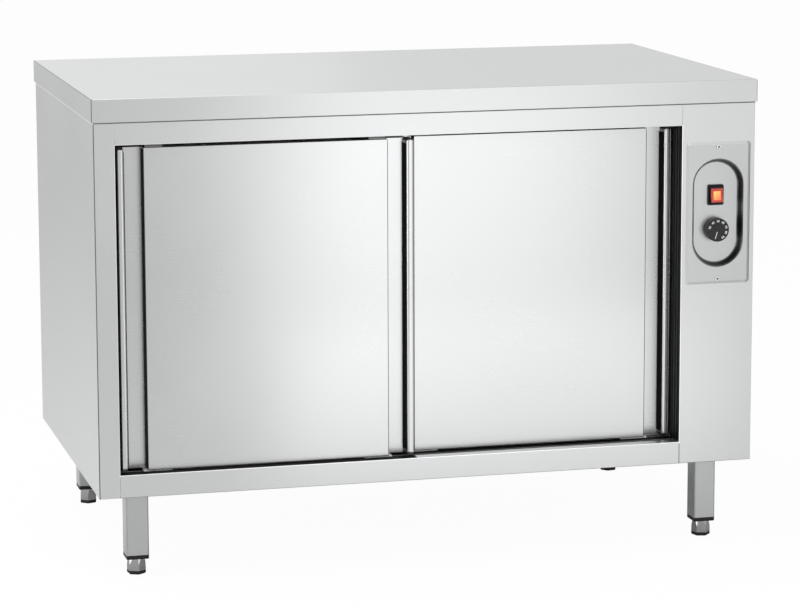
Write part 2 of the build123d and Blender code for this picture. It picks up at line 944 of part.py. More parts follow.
knob_back = recess_floor - knob_base_gap
knob_front = knob_back - knob_height
thermostat_back = recess_floor_back + thermostat_depth
spindle_end = recess_floor_back + spindle_reach

with BuildPart() as thermostat_knob:
    with BuildSketch(Plane.XZ.offset(-knob_front)):
        with Locations((plate_x, knob_z)):
            Circle(knob_diameter / 2)
    extrude(amount=-knob_height)
    fillet(thermostat_knob.faces().sort_by(Axis.Y)[0].edges(), knob_round)
    with BuildSketch(Plane.XZ.offset(-knob_back)):
        with Locations((plate_x, knob_z)):
            Circle(spindle_diameter / 2)
    extrude(amount=knob_back - spindle_end)
keep(thermostat_knob.part, "thermostat_knob")

with BuildPart() as thermostat_body:
    with BuildSketch(Plane.XZ.offset(-recess_floor_back)):
        with Locations((plate_x, knob_z)):
            Rectangle(thermostat_size, thermostat_size)
    extrude(amount=-thermostat_depth)
    with BuildSketch(Plane.XZ.offset(-recess_floor)):
        with Locations((plate_x, knob_z)):
            Circle(bush_diameter / 2)
    extrude(amount=-sheet)
    with BuildSketch(Plane.XZ.offset(-recess_floor)):
        with Locations((plate_x, knob_z)):
            Circle(spindle_diameter / 2 + spindle_play)
    extrude(amount=recess_floor - spindle_end - spindle_play, mode=Mode.SUBTRACT)
keep(thermostat_body.part, "thermostat_body")

bulb_x = opening_right - sensor_off_wall
bulb_start = capillary_y + capillary_lead
capillary_route = (
    (plate_x, thermostat_back, knob_z),
    (plate_x, thermostat_back + capillary_lead, knob_z),
    (plate_x, thermostat_back + capillary_lead, sensor_z),
    (plate_x, capillary_y, sensor_z),
    (bulb_x, capillary_y, sensor_z),
    (bulb_x, bulb_start, sensor_z),
)
clip_half = sensor_diameter / 2
with BuildPart() as thermostat_sensor:
    with BuildLine():
        FilletPolyline(*capillary_route, radius=capillary_bend)
    with BuildSketch(Plane.XZ.offset(-thermostat_back)):
        with Locations((plate_x, knob_z)):
            Circle(capillary_diameter / 2)
    sweep()
    with BuildSketch(Plane.XZ.offset(-bulb_start)):
        with Locations((bulb_x, sensor_z)):
            Circle(sensor_diameter / 2)
    extrude(amount=-sensor_length)
    for clip_y in (bulb_start + sensor_clip, bulb_start + sensor_length - 2 * sensor_clip):
        block(
            bulb_x, opening_right, clip_y, clip_y + sensor_clip,
            sensor_z - clip_half, sensor_z + clip_half,
        )
keep(thermostat_sensor.part, "thermostat_sensor")

# ---- Fan heater behind the right inner wall ----

duct_near = opening_right + sheet
duct_far = body_right - sheet - motor_side_gap - motor_length
impeller_near = duct_near + impeller_gap
impeller_far = impeller_near + impeller_width
element_x = (impeller_near + impeller_far) / 2
element_radius = element_ring / 2
element_low = (element_radius**2 - (element_leg_spacing / 2) ** 2) ** 0.5
tail_z = fan_z - element_low

with BuildPart() as heater_duct:
    block(duct_near, duct_far, duct_front, duct_back, duct_bottom, duct_top)
    block(
        duct_near, duct_far - duct_sheet, duct_front + duct_sheet, duct_back - duct_sheet,
        duct_bottom + duct_sheet, duct_top - duct_sheet, mode=Mode.SUBTRACT,
    )
    with BuildSketch(Plane.YZ.offset(duct_far)):
        with Locations((fan_y, fan_z)):
            Circle(shaft_diameter / 2 + duct_sheet)
        with Locations((fan_y, tail_z)):
            with GridLocations(element_leg_spacing, 1, 2, 1):
                Circle(element_diameter / 2 + shaft_play)
    extrude(amount=-duct_sheet, mode=Mode.SUBTRACT)
keep(heater_duct.part, "heater_duct")

with BuildPart() as fan_motor:
    with BuildSketch(Plane.YZ.offset(duct_far)):
        with Locations((fan_y, fan_z)):
            Circle(motor_diameter / 2)
    extrude(amount=motor_length)
    fillet(fan_motor.faces().sort_by(Axis.X)[-1].edges(), motor_round)
    with BuildSketch(Plane.YZ.offset(duct_far)):
        with Locations((fan_y, fan_z)):
            Circle(shaft_diameter / 2 + shaft_play)
    extrude(amount=shaft_length + shaft_play, mode=Mode.SUBTRACT)
keep(fan_motor.part, "fan_motor")

impeller_radius = impeller_diameter / 2
with BuildPart() as fan_impeller:
    with BuildSketch(Plane.YZ.offset(impeller_far)):
        with Locations((fan_y, fan_z)):
            Circle(impeller_radius)
    extrude(amount=-impeller_disc)
    with BuildSketch(Plane.YZ.offset(impeller_near)):
        with Locations((fan_y, fan_z)):
            Circle(impeller_radius)
            Circle(impeller_radius - blade_length, mode=Mode.SUBTRACT)
    extrude(amount=impeller_disc)
    with BuildSketch(Plane.YZ.offset(impeller_near)):
        with Locations((fan_y, fan_z)):
            with PolarLocations(impeller_radius - blade_length / 2, blade_count):
                Rectangle(blade_length, blade_thickness)
    extrude(amount=impeller_width)
    with BuildSketch(Plane.YZ.offset(impeller_far)):
        with Locations((fan_y, fan_z)):
            Circle(shaft_diameter / 2)
    extrude(amount=duct_far + shaft_length - impeller_far)
    with BuildSketch(Plane.YZ.offset(impeller_far - impeller_disc)):
        with Locations((fan_y, fan_z)):
            Circle(shaft_diameter)
    extrude(amount=-impeller_width / 2)
keep(fan_impeller.part, "fan_impeller")

ring_axis = Axis((element_x, fan_y, fan_z), (1, 0, 0))
half_gap = degrees(atan(element_leg_spacing / 2 / element_low))
ring_start = Vector(0, 0, -1).rotate(Axis.X, half_gap)
start_plane = Plane(
    origin=(element_x, fan_y, fan_z), x_dir=ring_start, z_dir=ring_start.cross(Vector(1, 0, 0))
)
tail_end = duct_far + element_tail
with BuildPart() as heating_element:
    with BuildSketch(start_plane):
        with Locations((element_radius, 0)):
            Circle(element_diameter / 2)
    revolve(axis=ring_axis, revolution_arc=360 - 2 * half_gap)
    with BuildSketch(Plane.YZ.offset(element_x)):
        with Locations((fan_y, tail_z)):
            with GridLocations(element_leg_spacing, 1, 2, 1):
                Circle(element_diameter / 2)
    extrude(amount=tail_end - element_x)
    with Locations((element_x, fan_y, tail_z)):
        with GridLocations(1, element_leg_spacing, 1, 2):
            Sphere(element_diameter / 2)
keep(heating_element.part, "heating_element")

# ---- Terminal block and cable gland ----

terminal_back = gland_y - terminal_length
with BuildPart() as terminal_block:
    block(
        plate_x - terminal_length / 2, plate_x + terminal_length / 2,
        terminal_back - terminal_depth, terminal_back,
        body_bottom + sheet, body_bottom + sheet + terminal_height,
    )
    with BuildSketch(Plane.XY.offset(body_bottom + sheet + terminal_height)):
        with Locations((plate_x, terminal_back - terminal_depth / 2)):
            with GridLocations(terminal_length / terminal_ways, terminal_depth / 2,
                               terminal_ways, 2):
                Circle(terminal_length / terminal_ways / 4)
    extrude(amount=-terminal_height / 2, mode=Mode.SUBTRACT)
keep(terminal_block.part, "terminal_block")

with BuildPart() as cable_gland:
    for height, amount, radius in (
        (body_bottom, -gland_drop, gland_collar / 2),
        (body_bottom, sheet + gland_rise, gland_thread / 2),
        (body_bottom + sheet, gland_nut_height, gland_collar / 2),
    ):
        with BuildSketch(Plane.XY.offset(height)):
            with Locations((gland_x, gland_y)):
                Circle(radius)
        extrude(amount=amount)
    with BuildSketch(Plane.XY.offset(body_bottom - gland_drop)):
        with Locations((gland_x, gland_y)):
            Circle(gland_bore / 2)
    extrude(amount=gland_drop + sheet + gland_rise, mode=Mode.SUBTRACT)
keep(cable_gland.part, "cable_gland")

# ---- Legs with their plugs and screw-in feet ----

leg_right = half_width - leg_inset_side
leg_front = leg_inset_front - half_depth
leg_back = half_depth - leg_inset_back
corners = {
    "front_left": (-leg_right, leg_front),
    "front_right": (leg_right, leg_front),
    "back_left": (-leg_right, leg_back),
    "back_right": (leg_right, leg_back),
}
bore_size = leg_size - 2 * leg_wall
plug_bottom = leg_bottom - plug_thickness
foot_top = plug_bottom - foot_gap
foot_height = foot_top - sole_thickness
foot_top_flats = foot_flats - 2 * foot_draft
foot_taper = degrees(atan(foot_draft / foot_height))
stem_top = leg_bottom + plug_neck + stem_above_plug

for corner, place in corners.items():
    with BuildPart() as leg:
        with BuildSketch(Plane.XY.offset(leg_bottom)):
            with Locations(place):
                RectangleRounded(leg_size, leg_size, leg_corner)
                RectangleRounded(
                    bore_size, bore_size, leg_corner - leg_wall, mode=Mode.SUBTRACT
                )
        extrude(amount=body_bottom - leg_bottom)
    keep(leg.part, f"{corner}_leg")

with BuildPart() as leg_plugs:
    with BuildSketch(Plane.XY.offset(plug_bottom)):
        with Locations(*corners.values()):
            RectangleRounded(leg_size, leg_size, leg_corner)
    extrude(amount=plug_thickness)
    fillet(leg_plugs.faces().group_by(Axis.Z)[0].edges(), plug_round)
    with BuildSketch(Plane.XY.offset(plug_bottom + (plug_thickness - plug_groove_width) / 2)):
        with Locations(*corners.values()):
            RectangleRounded(leg_size, leg_size, leg_corner)
            Rectangle(
                leg_size - 2 * plug_groove, leg_size - 2 * plug_groove, mode=Mode.SUBTRACT
            )
    extrude(amount=plug_groove_width, mode=Mode.SUBTRACT)
    with BuildSketch(Plane.XY.offset(leg_bottom)):
        with Locations(*corners.values()):
            Rectangle(bore_size - 2 * plug_play, bore_size - 2 * plug_play)
    extrude(amount=plug_neck)
    fillet(leg_plugs.edges().filter_by(Axis.Z).group_by(SortBy.LENGTH)[-1], leg_wall)
    with BuildSketch(Plane.XY.offset(plug_bottom)):
        with Locations(*corners.values()):
            Circle(stem_diameter / 2 + stem_play)
    extrude(amount=plug_thickness + plug_neck, mode=Mode.SUBTRACT)
keep(leg_plugs.part, "leg_plugs")

for (corner, place), turn in zip(corners.items(), foot_turns):
    with BuildPart() as foot:
        with BuildSketch(Plane.XY.offset(sole_thickness)):
            with Locations(place):
                RegularPolygon(foot_flats / 2, 6, major_radius=False, rotation=turn)
        extrude(amount=foot_height, taper=foot_taper)
        with Locations((*place, sole_thickness + foot_height / 2)):
            Cone(
                foot_flats / 2 + foot_height / 5, foot_top_flats / 2 + foot_gap,
                foot_height, mode=Mode.INTERSECT,
            )
        with BuildSketch(Plane.XY.offset(foot_top)):
            with Locations(place):
                Circle(stem_diameter / 2)
        extrude(amount=stem_top - foot_top)
    keep(foot.part, f"{corner}_foot")

    with BuildPart() as sole:
        with BuildSketch():
            with Locations(place):
                RegularPolygon(foot_flats / 2, 6, major_radius=False, rotation=turn)
        extrude(amount=sole_thickness)
        chamfer(sole.faces().sort_by(Axis.Z)[0].edges(), sole_thickness / 5)
    keep(sole.part, f"{corner}_sole")
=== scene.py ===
"""Dresses a heated plate cupboard: stainless steel panels, sliding doors and a control recess."""

from math import atan2, cos, hypot, pi, radians, sin

import bmesh
import bpy
from mathutils import Matrix, Vector


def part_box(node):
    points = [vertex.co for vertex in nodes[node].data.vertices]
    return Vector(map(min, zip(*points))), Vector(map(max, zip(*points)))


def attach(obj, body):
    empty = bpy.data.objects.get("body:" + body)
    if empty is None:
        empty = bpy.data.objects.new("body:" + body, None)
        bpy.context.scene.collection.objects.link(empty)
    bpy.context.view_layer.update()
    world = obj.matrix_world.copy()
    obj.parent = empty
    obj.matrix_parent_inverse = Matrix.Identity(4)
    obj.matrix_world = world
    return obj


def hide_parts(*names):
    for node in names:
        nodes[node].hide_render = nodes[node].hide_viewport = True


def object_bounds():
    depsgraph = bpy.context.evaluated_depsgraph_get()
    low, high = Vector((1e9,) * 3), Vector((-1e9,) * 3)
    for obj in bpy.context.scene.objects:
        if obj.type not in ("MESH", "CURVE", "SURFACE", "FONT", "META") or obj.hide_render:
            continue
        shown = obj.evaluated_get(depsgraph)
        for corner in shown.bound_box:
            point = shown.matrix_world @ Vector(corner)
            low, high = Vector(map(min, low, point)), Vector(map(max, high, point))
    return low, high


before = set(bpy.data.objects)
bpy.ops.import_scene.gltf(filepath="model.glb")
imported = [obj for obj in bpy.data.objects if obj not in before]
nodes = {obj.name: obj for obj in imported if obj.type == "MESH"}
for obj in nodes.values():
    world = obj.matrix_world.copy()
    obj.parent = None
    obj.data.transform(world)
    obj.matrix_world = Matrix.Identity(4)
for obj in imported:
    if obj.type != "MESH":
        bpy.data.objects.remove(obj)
cad_box = [list(corner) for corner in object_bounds()]

# ---- Outer panels and rails ----
# Stainless sheet, 1.2 mm thick, punched and folded on a press brake. The satin face is ground
# with a belt, so fine scratches run along each panel. Painted shade darkens the left corner's
# fold, the bottom folds and the bottom rail's seam, and a painted highlight brightens the folds
# round the door opening.


class Channel:
    """A shader socket that takes part in ordinary arithmetic."""

    def __init__(self, finish, socket):
        self.finish, self.socket = finish, socket

    def __add__(self, other):
        return self.finish.maths("ADD", self, other)

    def __sub__(self, other):
        return self.finish.maths("SUBTRACT", self, other)

    def __mul__(self, other):
        return self.finish.maths("MULTIPLY", self, other)

    def __truediv__(self, other):
        return self.finish.maths("DIVIDE", self, other)

    def __gt__(self, other):
        return self.finish.maths("GREATER_THAN", self, other)

    def __lt__(self, other):
        return self.finish.maths("LESS_THAN", self, other)

    def __radd__(self, other):
        return self.finish.maths("ADD", other, self)

    def __rsub__(self, other):
        return self.finish.maths("SUBTRACT", other, self)

    def __rmul__(self, other):
        return self.finish.maths("MULTIPLY", other, self)

    def __abs__(self):
        return self.finish.maths("ABSOLUTE", self, 0.0)


class Finish:
    """One surface finish: a Principled shader fed with numbers, colours and channels."""

    def __init__(self, name, **sockets):
        self.material = bpy.data.materials.new(name)
        self.material.use_nodes = True
        self.tree = self.material.node_tree
        self.shader = self.tree.nodes["Principled BSDF"]
        self.place = self.node("ShaderNodeTexCoord", output="Object")
        self.feed(**sockets)

    def node(self, kind, settings=None, inputs=None, output=0):
        """Adds any node: its settings first, then the values or links of its sockets."""
        made = self.tree.nodes.new(kind)
        for key, value in (settings or {}).items():
            setattr(made, key, value)
        for key, value in (inputs or {}).items():
            self.join(value, made.inputs[key])
        return Channel(self, made.outputs[output])

    def join(self, value, socket):
        if isinstance(value, Channel):
            self.tree.links.new(value.socket, socket)
        elif socket.type == "RGBA":
            socket.default_value = (*value, 1)
        else:
            socket.default_value = value

    def maths(self, operation, first, second):
        return self.node("ShaderNodeMath", {"operation": operation}, {0: first, 1: second})

    def ease(self, value, low, high):
        """From 0 at the low figure to 1 at the high one, clamped."""
        inputs = {"Value": value, "From Min": low, "From Max": high}
        return self.node("ShaderNodeMapRange", {"clamp": True}, inputs)

    def blend(self, factor, first, second):
        """One colour fading to another."""
        inputs = {0: factor, 6: first, 7: second}
        return self.node("ShaderNodeMix", {"data_type": "RGBA"}, inputs, output=2)

    def grey(self, level, tint=(1.0, 1.0, 1.0)):
        """A colour from one channel, multiplied by a tint."""
        parts = dict(zip(("Red", "Green", "Blue"), (level * share for share in tint)))
        return self.node("ShaderNodeCombineColor", None, parts)

    def noise(self, scale, detail=2.0, spread=(1, 1, 1)):
        """Noise with so many features a metre, times the spread on each axis."""
        inputs = {"Vector": self.place, "Scale": spread}
        place = self.node("ShaderNodeMapping", None, inputs)
        inputs = {"Vector": place, "Scale": scale, "Detail": detail}
        return self.node("ShaderNodeTexNoise", None, inputs)

    def bump(self, height, strength, distance):
        inputs = {"Strength": strength, "Distance": distance, "Height": height}
        return self.node("ShaderNodeBump", None, inputs)

    def axes(self, vector):
        """A vector's three parts."""
        made = self.node("ShaderNodeSeparateXYZ", None, {"Vector": vector}).socket.node
        return [Channel(self, socket) for socket in made.outputs]

    def folds(self, low, high):
        """From 0 on a face square to the axes to 1 on the round of a fold."""
        normal = self.node("ShaderNodeNewGeometry", output="Normal")
        across, deep, up = (abs(part) for part in self.axes(normal))
        most = self.maths("MAXIMUM", self.maths("MAXIMUM", across, deep), up)
        return self.ease(1 - most, low, high)

    def feed(self, **sockets):
        for name, value in sockets.items():
            title = name.replace("_", " ").title().replace("Ior", "IOR")
            self.join(value, self.shader.inputs[title])


# A near-black for painted shade and a near-white for painted highlight on the rounds of folds.
fold_shade_steel, highlight_steel = (0.04, 0.041, 0.043), (0.96, 0.96, 0.97)


def ground_steel(name, tone, roughness, along, scratch, painted_shade, bright=lambda *place: 0.0):
    """Belt-ground stainless steel; scratches run along the axes where along is low.

    How much painted shade darkens the folds, and how much painted highlight brightens them,
    comes from the place: 0 to 1.
    """
    finish = Finish(name, metallic=1.0)
    grain = finish.noise(1.0, 3.0, along)
    cloud = finish.noise(5.0)
    body = finish.grey(tone + (grain - 0.5) * scratch + (cloud - 0.5) * 0.03, (0.99, 1.0, 1.005))
    fold, place = finish.folds(0.004, 0.03), finish.axes(finish.place)
    # Painted highlight, then painted shade, on the rounds of the folds.
    highlighted = finish.blend(fold * bright(*place), body, highlight_steel)
    finish.feed(
        base_color=finish.blend(fold * painted_shade(*place), highlighted, fold_shade_steel),
        roughness=roughness + (grain - 0.5) * scratch * 4 + (cloud - 0.5) * 0.08,
        normal=finish.bump(grain, scratch, 0.0002),
    )
    return finish.material


def dress(material, *names):
    """Gives the named nodes their material."""
    for name in names:
        nodes[name].data.materials.clear()
        nodes[name].data.materials.append(material)


level_grain = (12, 12, 2400)
left_folds, bottom_folds = -0.58, 0.1525
opening_reach, opening_bottom, opening_top = 0.57, 0.187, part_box("top_rail")[0].z + 0.001
rail_seam, seam_reach = 0.46, 0.002
# Painted shade on the left corner's fold, the bottom folds and the bottom rail's seam; painted
# highlight on the folds round the door opening.
satin_steel = ground_steel(
    "satin_steel", 0.54, 0.34, level_grain, 0.012,
    lambda across, deep, up: (
        (across < left_folds) * 0.95 + (up < bottom_folds) * 0.7
        + (abs(across - rail_seam) < seam_reach) * (up < opening_bottom)
    ),
    lambda across, deep, up: (
        (abs(across) < opening_reach) * (up > opening_bottom) * (up < opening_top)
    ),
)
dress(
    satin_steel, "left_side_panel", "right_side_panel", "back_panel", "base_panel",
    "top_rail", "bottom_rail", "control_fascia",
)

# ---- Back panel's screws ----
# Pan heads with a cross recess hold the back panel along its edges, so that it comes off for work
# on the heater. They are pressed from stainless wire and tumbled smooth.

shaded_steel = (0.06, 0.06, 0.062)


def polished_steel(name, tone, roughness, fold=0.0, painted_shade=lambda *place: 0.0):
    """Bright turned or pressed stainless steel with faint marks from handling."""
    finish = Finish(name, metallic=1.0)
    marks = finish.noise(600.0, 3.0)
    body = finish.grey(tone + (marks - 0.5) * 0.08)
    # Painted shade on the rounds, by the fold share, and wherever the place gives it.
    shade = finish.folds(0.02, 0.2) * fold + painted_shade(*finish.axes(finish.place))
    finish.feed(
        base_color=finish.blend(shade, body, shaded_steel),
        roughness=roughness + (marks - 0.5) * 0.12,
    )
    return finish.material


cross_reach, cross_arm, cross_sunk = 0.55, 0.1, 0.7
head_outline = ((0.8, 0.06), (0.95, 0.3), (1.0, 0.6), (1.0, 1.0))


def screw_head(radius, height):
    """A pan head with a cross recess: it faces +Z, and its seat is on the origin's plane."""
    shape = bmesh.new()
    bmesh.ops.create_grid(shape, x_segments=3, y_segments=3, size=radius * cross_reach)
    arm = radius * cross_arm
    cross = [
        face for face in shape.faces
        if min(abs(axis) for axis in face.calc_center_median().xy) < arm
    ]
    sunk = bmesh.ops.extrude_face_region(shape, geom=cross)["geom"]
    bottom = [item for item in sunk if isinstance(item, bmesh.types.BMVert)]
    bmesh.ops.translate(shape, vec=(0, 0, -height * cross_sunk), verts=bottom)
    bmesh.ops.delete(shape, geom=[face for face in cross if face.is_valid], context="FACES_ONLY")
    rim = [edge for edge in shape.edges if edge.is_boundary]
    for reach, drop in head_outline:
        grown = bmesh.ops.extrude_edge_only(shape, edges=rim)["geom"]
        for item in grown:
            if isinstance(item, bmesh.types.BMVert):
                item.co = (*item.co.xy.normalized() * radius * reach, -height * drop)
        rim = [item for item in grown if isinstance(item, bmesh.types.BMEdge) and item.is_boundary]
    bmesh.ops.holes_fill(shape, edges=rim)
    bmesh.ops.translate(shape, vec=(0, 0, height), verts=shape.verts)
    return shape


def finished(shape, name, material, body):
    """Makes a shape a piece of its own, which moves with a body."""
    bmesh.ops.recalc_face_normals(shape, faces=shape.faces)
    mesh = bpy.data.meshes.new(name)
    shape.to_mesh(mesh)
    shape.free()
    mesh.materials.append(material)
    made = bpy.data.objects.new(name, mesh)
    bpy.context.scene.collection.objects.link(made)
    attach(made, body)
    return made


def gather(shape, other, place):
    """Adds a copy of the other shape, put in its place, to a shape."""
    copy = bpy.data.meshes.new("copy")
    other.to_mesh(copy)
    copy.transform(place)
    shape.from_mesh(copy)
    bpy.data.meshes.remove(copy)


# Painted shade darkens the heads' rounds and the walls of the cross recess.
screw_steel = polished_steel("screw_steel", 0.62, 0.22, 0.85)
back_low, back_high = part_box("back_panel")
back_head_radius, back_head_height, screw_margin, last_column = 0.004, 0.0022, 0.011, 4
screw_spacing = (back_high.x - back_low.x - 2 * screw_margin) / last_column
middle_row = (back_low.z + back_high.z) / 2
head = screw_head(back_head_radius, back_head_height)
screws = bmesh.new()
for column in range(last_column + 1):
    across = back_low.x + screw_margin + column * screw_spacing
    for up in (back_low.z + screw_margin, middle_row, back_high.z - screw_margin):
        if column in (0, last_column) or up != middle_row:
            seat = Matrix.Translation((across, back_high.y, up))
            gather(screws, head, seat @ Matrix.Rotation(-pi / 2, 4, "X"))
head.free()
finished(screws, "back_panel_screws", screw_steel, "cabinet")

# ---- Worktop ----
# A tray of 1.5 mm stainless sheet, folded down and back under all round, and ground along its
# length. Three glued channels underneath keep it flat and quiet.

top_folds, left_end_fold = 0.843, -0.597
# Painted shade darkens the worktop's lower folds and the fold at its left end.
worktop_steel = ground_steel(
    "worktop_steel", 0.52, 0.34, (12, 2400, 2400), 0.015,
    lambda across, deep, up: (
        (up < top_folds) * 0.95 + (up > top_folds) * (across < left_end_fold) * 0.8
    ),
)
dress(worktop_steel, "worktop")

# ---- Joint under the worktop ----
# A thin dark strip paints the shadow under the worktop's edge at the front and back, and a narrow
# polished strip paints a highlight along the joint at the two sides.


def moulded_black(name, tone, roughness, grain=1500.0, shine=0.25):
    """Black plastic or rubber with a fine moulded texture."""
    finish = Finish(name, specular_ior_level=shine)
    speckle = finish.noise(grain, 3.0)
    cloud = finish.noise(40.0)
    finish.feed(
        base_color=finish.grey(tone + (cloud - 0.5) * tone * 0.5, (1.0, 1.0, 1.05)),
        roughness=roughness + (cloud - 0.5) * 0.2,
        normal=finish.bump(speckle, 0.15, 0.0002),
    )
    return finish.material


shadow_strip_finish = moulded_black("painted_shadow_strip", 0.15, 0.5)
highlight_strip_steel = polished_steel("highlight_strip_steel", 0.9, 0.3)
side_low, side_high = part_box("left_side_panel")
body_wide, body_deep = -side_low.x, (side_high.y - side_low.y) / 2
strip_proud, strip_sunk = 0.0003, 0.0003
strip_low, strip_high, highlight_low = -0.0024, -0.0004, -0.0036


def slab(low, high):
    """A closed box between two corners."""
    shape = bmesh.new()
    bmesh.ops.create_cube(shape, size=1.0)
    size = [after - before for before, after in zip(low, high)]
    bmesh.ops.scale(shape, vec=size, verts=shape.verts)
    middle = [(before + after) / 2 for before, after in zip(low, high)]
    bmesh.ops.translate(shape, vec=middle, verts=shape.verts)
    return shape


def both_ways(low, high):
    """A slab and its copy, turned half round the upright axis through the origin."""
    shape = bmesh.new()
    one = slab(low, high)
    gather(shape, one, Matrix.Identity(4))
    gather(shape, one, Matrix.Rotation(pi, 4, "Z"))
    one.free()
    return shape


high = side_high.z + strip_high
shadow_strips = both_ways(
    (-body_wide, -body_deep - strip_proud, side_high.z + strip_low),
    (body_wide, strip_sunk - body_deep, high),
)
highlight_strips = both_ways(
    (-body_wide - strip_proud, -body_deep, side_high.z + highlight_low),
    (strip_sunk - body_wide, body_deep, high),
)
# Painted shadow at the front and back, painted highlight at the two sides.
finished(shadow_strips, "worktop_painted_shadow", shadow_strip_finish, "cabinet")
finished(highlight_strips, "worktop_painted_highlight", highlight_strip_steel, "cabinet")

# ---- Heated chamber and tracks ----
# The lining, shelf, tracks and stiffeners are plain mill-finish sheet, cloudier than the outside.
# The lining and shelf are bright annealed. Mineral wool fills the space behind the lining.


def mill_steel(name, tone, roughness):
    """Rolled sheet as it comes from the mill."""
    finish = Finish(name, metallic=1.0)
    cloud = finish.noise(14.0, 4.0)
    rolled = finish.noise(1.0, 2.0, (6, 500, 500))
    level = tone + (cloud - 0.5) * 0.1 + (rolled - 0.5) * 0.04
    finish.feed(
        base_color=finish.grey(level, (0.99, 1.0, 1.0)),
        roughness=roughness + (cloud - 0.5) * 0.16,
        normal=finish.bump(rolled, 0.05, 0.0002),
    )
    return finish.material


lining_steel = mill_steel("lining_steel", 0.66, 0.46)
dress(
    lining_steel, "inner_left_wall", "inner_right_wall", "inner_back_wall", "inner_ceiling",
    "inner_floor", "shelf_rails", "shelf", "heater_duct",
)
track_steel = mill_steel("track_steel", 0.5, 0.38)
dress(track_steel, "top_track", "track_end_stops", "bottom_track", "worktop_stiffeners")

wool = Finish("mineral_wool")
strands = wool.noise(160.0, 6.0, (1, 1, 3))
wool.feed(
    base_color=wool.blend(strands, (0.42, 0.34, 0.2), (0.82, 0.74, 0.52)),
    roughness=0.95,
    normal=wool.bump(strands, 0.8, 0.003),
)
dress(wool.material, "insulation_slabs")

# ---- Doors ----
# Each door is a tray of brighter, smoother stainless sheet, folded into a pull channel and a lip
# at both ends, with a stiff core and a flat back skin. Black sheets on the walls of the pulls
# paint the shade in the pull channels, and painted shade darkens the panel's folds.

core_foam = Finish("door_core")
cells = core_foam.noise(900.0, 3.0)
core_foam.feed(
    base_color=core_foam.grey(0.6 + (cells - 0.5) * 0.3, (1.0, 0.97, 0.9)), roughness=0.9
)

lip_width, pull_width, pull_depth = 0.013, 0.035, 0.020
lip_run, lip_bend, far_lip_bend = 0.004, 0.0045, 0.010
panel_run, panel_bend = 0.0012, 0.0011
shade_sheet_thickness, shade_sheet_lift, shade_sheet_foot_gap = 0.0004, 0.0001, 0.0004
lip_end_gap, panel_end_gap, shade_sheet_corner, lip_margin = 0.009, 0.002, 0.002, 0.001


def rounded_plate(width, thickness, height, corner):
    """A flat plate that faces Y and stands on Z, with its four corners rounded."""
    shape = bmesh.new()
    bmesh.ops.create_cube(shape, size=1.0)
    bmesh.ops.scale(shape, vec=(width, thickness, height), verts=shape.verts)
    through = [
        edge for edge in shape.edges
        if abs(edge.verts[0].co.y - edge.verts[1].co.y) > thickness / 2
    ]
    bmesh.ops.bevel(
        shape, geom=through, offset=corner, segments=6, profile=0.5, affect="EDGES", material=-1
    )
    return shape


shadow_sheet = moulded_black("shadow_sheet", 0.004, 0.6, shine=0.05)
zinc = mill_steel("zinc_plated_steel", 0.2, 0.45)
nylon = Finish("white_nylon", roughness=0.45)
sheen = nylon.noise(300.0)
nylon.feed(
    base_color=nylon.blend(sheen, (0.8, 0.79, 0.74), (0.88, 0.87, 0.83)), subsurface_weight=0.1
)

for side in ("left", "right"):
    body = f"{side}_door"
    low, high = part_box(f"{body}_front_skin")
    middle, reach = (low.x + high.x) / 2, (high.x - low.x) / 2 - lip_width - lip_margin
    # Painted shade darkens the rounds of the folds between each door's two lips.
    door_steel = ground_steel(
        f"{side}_door_steel", 0.53, 0.28, level_grain, 0.004,
        lambda across, deep, up: (abs(across - middle) < reach) * 0.7,
    )
    dress(door_steel, f"{body}_front_skin", f"{body}_back_skin")
    dress(core_foam.material, f"{body}_core")
    dress(zinc, f"{body}_hangers")
    dress(nylon.material, f"{body}_glides", f"{body}_left_roller", f"{body}_right_roller")
    panel_start = lip_width + pull_width
    # Black sheets that paint the shade on the walls of each pull.
    shade_sheets = bmesh.new()
    for start, run, bend, end_gap in (
        (low.x + lip_width, lip_run, far_lip_bend, lip_end_gap),
        (low.x + panel_start, -panel_run, panel_bend, panel_end_gap),
        (high.x - panel_start, panel_run, panel_bend, panel_end_gap),
        (high.x - lip_width, -lip_run, lip_bend, lip_end_gap),
    ):
        inward = Vector((run, pull_depth, 0)).normalized()
        outward = Vector((pull_depth, -run, 0)).normalized() * (1 if run > 0 else -1)
        width = hypot(run, pull_depth) - bend - shade_sheet_foot_gap
        centre = Vector((start, low.y, (low.z + high.z) / 2))
        centre += inward * (bend + width / 2) + outward * (shade_sheet_lift + shade_sheet_thickness / 2)
        turn = Matrix.Rotation(atan2(pull_depth, run), 4, "Z")
        height = high.z - low.z - 2 * end_gap
        plate = rounded_plate(width, shade_sheet_thickness, height, shade_sheet_corner)
        gather(shade_sheets, plate, Matrix.Translation(centre) @ turn)
        plate.free()
    finished(shade_sheets, f"{body}_pull_shade_sheets", shadow_sheet, body)

# ---- Jamb seals ----
# An extruded rubber strip with three ribs is glued up each side of the door opening, where the
# doors close against the body.

rubber = moulded_black("black_rubber", 0.007, 0.6)
seal_rubber = moulded_black("seal_rubber", 0.004, 0.4, 400.0, 0.12)
seal_thickness, rib_height, rib_width = 0.0012, 0.001, 0.003
seal_front, seal_back, seal_end_gap = 0.002, 0.046, 0.0005
rib_places = (0.011, 0.024, 0.037)


